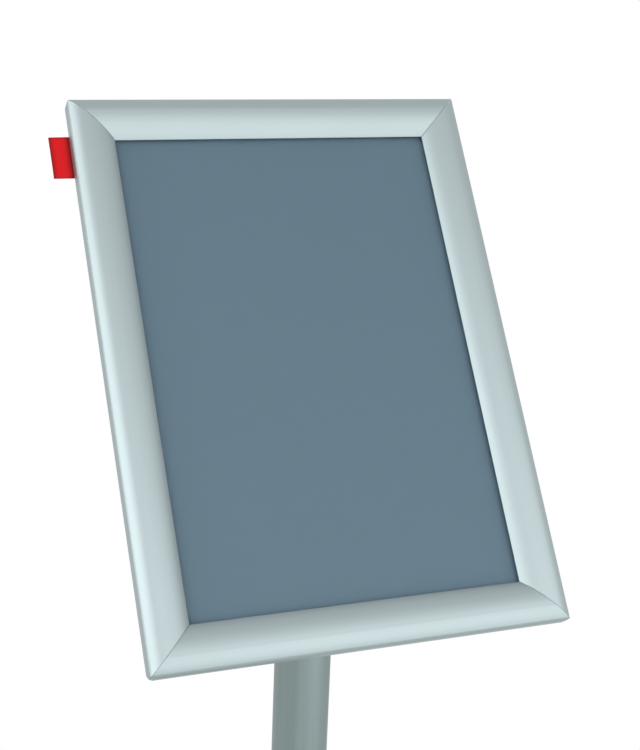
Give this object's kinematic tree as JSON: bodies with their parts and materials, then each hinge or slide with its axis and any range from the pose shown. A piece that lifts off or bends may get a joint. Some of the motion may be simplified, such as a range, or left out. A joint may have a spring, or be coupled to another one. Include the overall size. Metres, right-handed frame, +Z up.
{
  "type": "poster display stand",
  "caption": "Floor stand with a round foot and post that carries a leaning snap frame for a sheet of paper, with rails that hinge open and a plain red side tab.",
  "frame": {"origin": "on the floor under the middle of the foot, on the axis of the post", "axes": "+Z up along the post, -Y towards the front of the stand, +X to the right seen from the front"},
  "size_m": [0.32, 0.32, 1.1824],
  "materials": {
    "anodised_rail": "satin silver anodised",
    "post_metal": "satin silver anodised",
    "foot_paint": "silver-grey powder coat",
    "steel_part": "zinc plated",
    "bracket_paint": "silver-grey powder coat",
    "moulded_black": "matte black",
    "panel_plastic": "matte white",
    "insert_card": "plain slate blue",
    "clear_sheet": "clear, anti-glare",
    "tab_red": "plain red ribbon",
    "pad_rubber": "matte black",
    "spring_steel": "bright spring steel",
    "key_steel": "zinc plated"
  },
  "bodies": {
    "stand": {"foot_plate": "foot_paint", "foot_pads": "pad_rubber", "foot_bolt": "steel_part", "foot_washer": "steel_part", "foot_collar": "foot_paint", "foot_plug": "post_metal", "post_tube": "post_metal", "post_head": "moulded_black", "plug_screws": "steel_part"},
    "bracket": {"tilt_bracket": "bracket_paint", "tilt_bolt": "steel_part", "tilt_washers": "steel_part", "tilt_nut": "steel_part"},
    "frame": {"crossbar": "bracket_paint", "crossbar_screws": "steel_part", "crossbar_nuts": "steel_part", "pivot_stud": "steel_part", "stop_pin": "steel_part", "swivel_washers": "steel_part", "swivel_nut": "steel_part", "corner_keys": "key_steel", "key_screws": "steel_part", "back_panel": "panel_plastic", "insert_sheet": "insert_card", "cover_sheet": "clear_sheet", "side_tab": "tab_red", "base_rail_top": "anodised_rail", "base_rail_bottom": "anodised_rail", "base_rail_left": "anodised_rail", "base_rail_right": "anodised_rail", "snap_springs_top": "spring_steel", "snap_springs_bottom": "spring_steel", "snap_springs_left": "spring_steel", "snap_springs_right": "spring_steel"},
    "cover_top": {"cover_rail_top": "anodised_rail"},
    "cover_bottom": {"cover_rail_bottom": "anodised_rail"},
    "cover_left": {"cover_rail_left": "anodised_rail"},
    "cover_right": {"cover_rail_right": "anodised_rail"}
  },
  "joints": [
    {"name": "head_tilt", "type": "hinge", "parent": "stand", "child": "bracket", "pos_m": [0, 0, 1], "axis": [1, 0, 0], "range_deg": [-54, 36]},
    {"name": "head_swivel", "type": "hinge", "parent": "bracket", "child": "frame", "pos_m": [0, 0.00745, 1.04156], "axis": [0, -0.809, 0.5878], "range_deg": [0, 90]},
    {"name": "snap_top", "type": "hinge", "parent": "frame", "child": "cover_top", "pos_m": [0, 0.09598, 1.17792], "axis": [-1, 0, 0], "range_deg": [0, 90], "deforming": ["snap_springs_top"]},
    {"name": "snap_bottom", "type": "hinge", "parent": "frame", "child": "cover_bottom", "pos_m": [0, -0.09488, 0.91523], "axis": [1, 0, 0], "range_deg": [0, 90], "deforming": ["snap_springs_bottom"]},
    {"name": "snap_left", "type": "hinge", "parent": "frame", "child": "cover_left", "pos_m": [-0.11885, 0.00055, 1.04657], "axis": [0, -0.5878, -0.809], "range_deg": [0, 90], "deforming": ["snap_springs_left"]},
    {"name": "snap_right", "type": "hinge", "parent": "frame", "child": "cover_right", "pos_m": [0.11885, 0.00055, 1.04657], "axis": [0, 0.5878, 0.809], "range_deg": [0, 90], "deforming": ["snap_springs_right"]}
  ]
}
